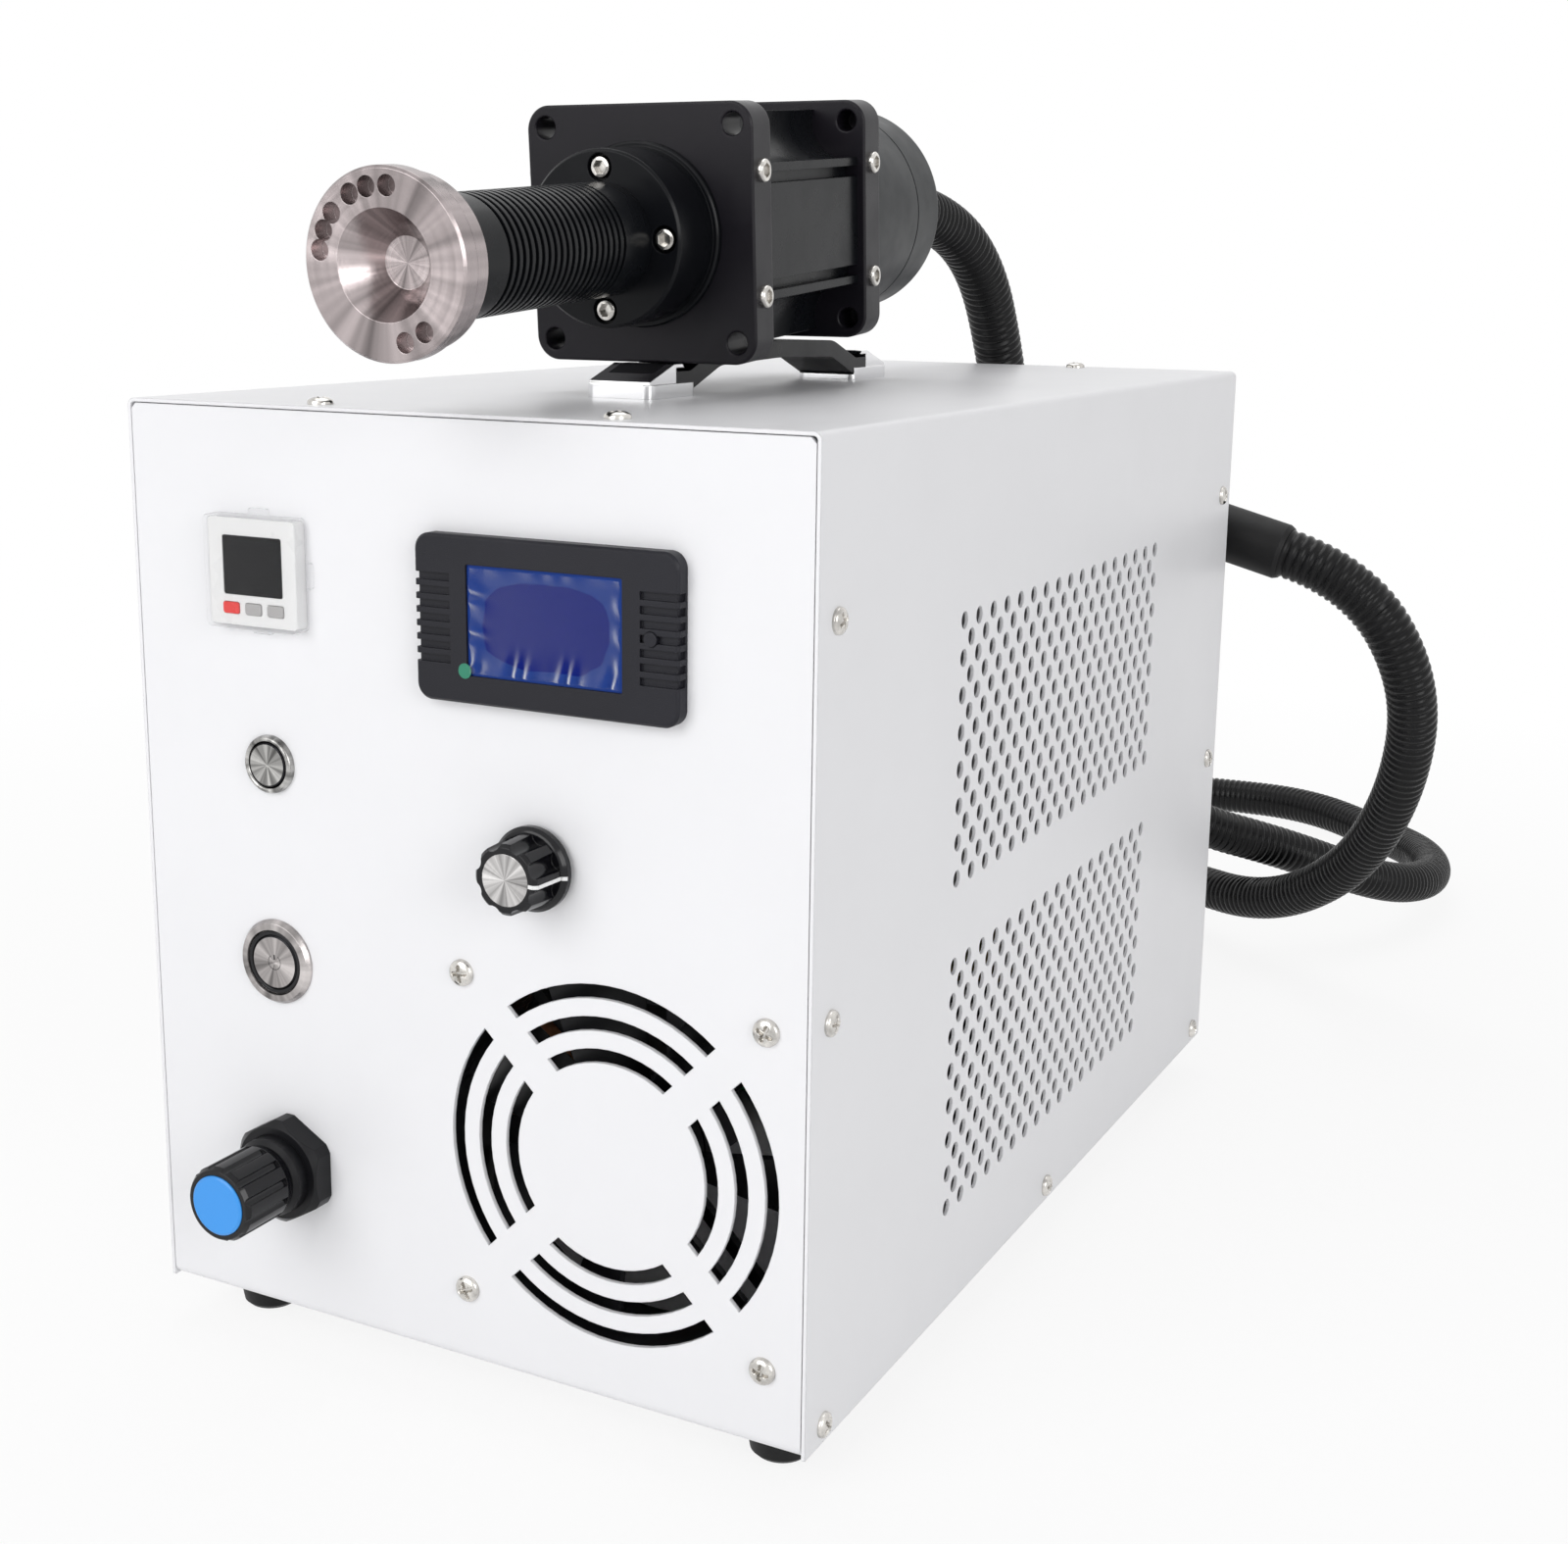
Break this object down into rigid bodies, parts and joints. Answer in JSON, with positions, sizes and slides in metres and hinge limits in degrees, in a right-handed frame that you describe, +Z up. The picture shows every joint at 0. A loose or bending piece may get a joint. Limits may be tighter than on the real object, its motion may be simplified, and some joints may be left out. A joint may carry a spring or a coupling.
{
  "type": "plasma cleaner",
  "caption": "Bench plasma surface treater: vented metal cabinet with gauge, power meter, knobs and fan, and a corded rotary-nozzle torch resting on its carrying handle.",
  "frame": {"origin": "on the bench, under the middle of the cabinet", "axes": "+X to the right seen from the front, +Y to the rear, +Z up; the front panel and the nozzle face -Y"},
  "size_m": [0.3617, 0.9246, 0.4181],
  "materials": {
    "case_paint": "semi-gloss white powder coat, light orange peel",
    "zinc_screw": "nickel-plated, turned heads",
    "black_rubber": "matte moulded rubber",
    "black_plastic": "fine matte moulding",
    "gloss_black": "polished moulding",
    "charcoal_plastic": "spark-eroded texture",
    "white_plastic": "satin moulding",
    "red_key": "satin",
    "grey_key": "satin",
    "clear_plastic": "clear moulding",
    "dark_display": "smoked window",
    "blue_display": "backlit blue film under glass",
    "blue_cap": "satin",
    "spun_aluminium": "spun disc",
    "chrome_plate": "plated",
    "black_anodised": "black anodised",
    "stainless": "lathe turned",
    "steel_shaft": "ground",
    "brass_fitting": "turned",
    "copper_winding": "enamelled winding",
    "core_iron": "laminated core",
    "raw_aluminium": "extruded",
    "board_green": "solder mask",
    "hose_black": "corrugated black conduit"
  },
  "bodies": {
    "cabinet": {"chassis": "case_paint", "cover": "case_paint", "cover_screws": "zinc_screw", "feet": "black_rubber", "foot_screws": "zinc_screw", "fan_frame": "black_plastic", "fan_screws": "zinc_screw", "gauge_body": "white_plastic", "gauge_screen": "dark_display", "meter_housing": "charcoal_plastic", "meter_display": "blue_display", "start_button_body": "chrome_plate", "power_button_body": "chrome_plate", "button_nuts": "zinc_screw", "potentiometer": "zinc_screw", "regulator_body": "black_plastic", "regulator_nut": "black_plastic", "mains_inlet": "black_plastic", "mains_pins": "brass_fitting", "air_inlet": "brass_fitting", "hose_elbow": "black_plastic", "hose_sleeve": "black_rubber", "torch_hose": "hose_black", "transformer_core": "core_iron", "transformer_coil": "copper_winding", "heat_sink": "raw_aluminium", "power_board": "board_green", "board_standoffs": "brass_fitting", "solenoid_valve": "brass_fitting", "handle_end_front": "chrome_plate", "handle_end_rear": "chrome_plate", "handle_grip": "black_plastic"},
    "fan_rotor": {"fan_rotor": "black_plastic"},
    "gauge_lid": {"gauge_cover": "clear_plastic"},
    "gauge_key_red": {"gauge_key_red": "red_key"},
    "gauge_key_set": {"gauge_key_set": "grey_key"},
    "gauge_key_down": {"gauge_key_down": "grey_key"},
    "meter_key": {"meter_key": "grey_key"},
    "start_cap": {"start_button_cap": "gloss_black"},
    "power_cap": {"power_button_cap": "spun_aluminium"},
    "power_knob": {"potentiometer_shaft": "steel_shaft", "power_knob": "gloss_black", "power_knob_disc": "spun_aluminium"},
    "regulator_stem": {"regulator_stem": "brass_fitting"},
    "regulator_knob": {"regulator_knob": "gloss_black", "regulator_cap": "blue_cap"},
    "fuse_drawer": {"fuse_drawer": "black_plastic"},
    "air_collet": {"air_collet": "grey_key"},
    "torch": {"torch_front_plate": "black_anodised", "torch_body": "black_anodised", "torch_rear_plate": "black_anodised", "torch_cap": "black_plastic", "torch_hub": "black_anodised", "torch_neck": "black_anodised", "torch_bearings": "steel_shaft", "torch_stator": "copper_winding", "torch_screws": "zinc_screw", "torch_gland": "black_plastic"},
    "nozzle": {"nozzle": "stainless", "torch_shaft": "steel_shaft"}
  },
  "joints": [
    {"name": "torch_lift", "type": "slide", "parent": "cabinet", "child": "torch", "axis": [0.0025, -0.0727, 0.9974], "range_m": [0, 0.06]},
    {"name": "nozzle_spin", "type": "hinge", "parent": "torch", "child": "nozzle", "pos_m": [0.0061, -0.10168, 0.36789], "axis": [0.0348, -0.9967, -0.0727], "continuous": true},
    {"name": "fan_spin", "type": "hinge", "parent": "cabinet", "child": "fan_rotor", "pos_m": [0.0553, -0.203, 0.094], "axis": [0, 1, 0], "continuous": true},
    {"name": "start_press", "type": "slide", "parent": "cabinet", "child": "start_cap", "axis": [0, 1, 0], "range_m": [0, 0.002], "stiffness_N_per_m": 800, "springref_m": -0.001},
    {"name": "power_press", "type": "slide", "parent": "cabinet", "child": "power_cap", "axis": [0, 1, 0], "range_m": [0, 0.002], "stiffness_N_per_m": 1000, "springref_m": -0.001},
    {"name": "gauge_key_red_press", "type": "slide", "parent": "cabinet", "child": "gauge_key_red", "axis": [0, 1, 0], "range_m": [0, 0.0005], "stiffness_N_per_m": 1500, "springref_m": -0.0003},
    {"name": "gauge_key_set_press", "type": "slide", "parent": "cabinet", "child": "gauge_key_set", "axis": [0, 1, 0], "range_m": [0, 0.0005], "stiffness_N_per_m": 1500, "springref_m": -0.0003},
    {"name": "gauge_key_down_press", "type": "slide", "parent": "cabinet", "child": "gauge_key_down", "axis": [0, 1, 0], "range_m": [0, 0.0005], "stiffness_N_per_m": 1500, "springref_m": -0.0003},
    {"name": "meter_key_press", "type": "slide", "parent": "cabinet", "child": "meter_key", "axis": [0, 1, 0], "range_m": [0, 0.0007], "stiffness_N_per_m": 1500, "springref_m": -0.0003},
    {"name": "gauge_lid_pull", "type": "slide", "parent": "cabinet", "child": "gauge_lid", "axis": [0, -1, 0], "range_m": [0, 0.02]},
    {"name": "power_knob_turn", "type": "hinge", "parent": "cabinet", "child": "power_knob", "pos_m": [0.031, -0.203, 0.1843], "axis": [0, -1, 0], "range_deg": [-55, 245]},
    {"name": "regulator_turn", "type": "hinge", "parent": "cabinet", "child": "regulator_stem", "pos_m": [-0.067, -0.203, 0.0684], "axis": [0, -1, 0], "range_deg": [-900, 900]},
    {"name": "regulator_pull", "type": "slide", "parent": "regulator_stem", "child": "regulator_knob", "axis": [0, -1, 0], "range_m": [0, 0.003]},
    {"name": "fuse_drawer_slide", "type": "slide", "parent": "cabinet", "child": "fuse_drawer", "axis": [0, 1, 0], "range_m": [0, 0.018]},
    {"name": "air_collet_press", "type": "slide", "parent": "cabinet", "child": "air_collet", "axis": [0, -1, 0], "range_m": [0, 0.001], "stiffness_N_per_m": 1500, "springref_m": -0.0005}
  ]
}
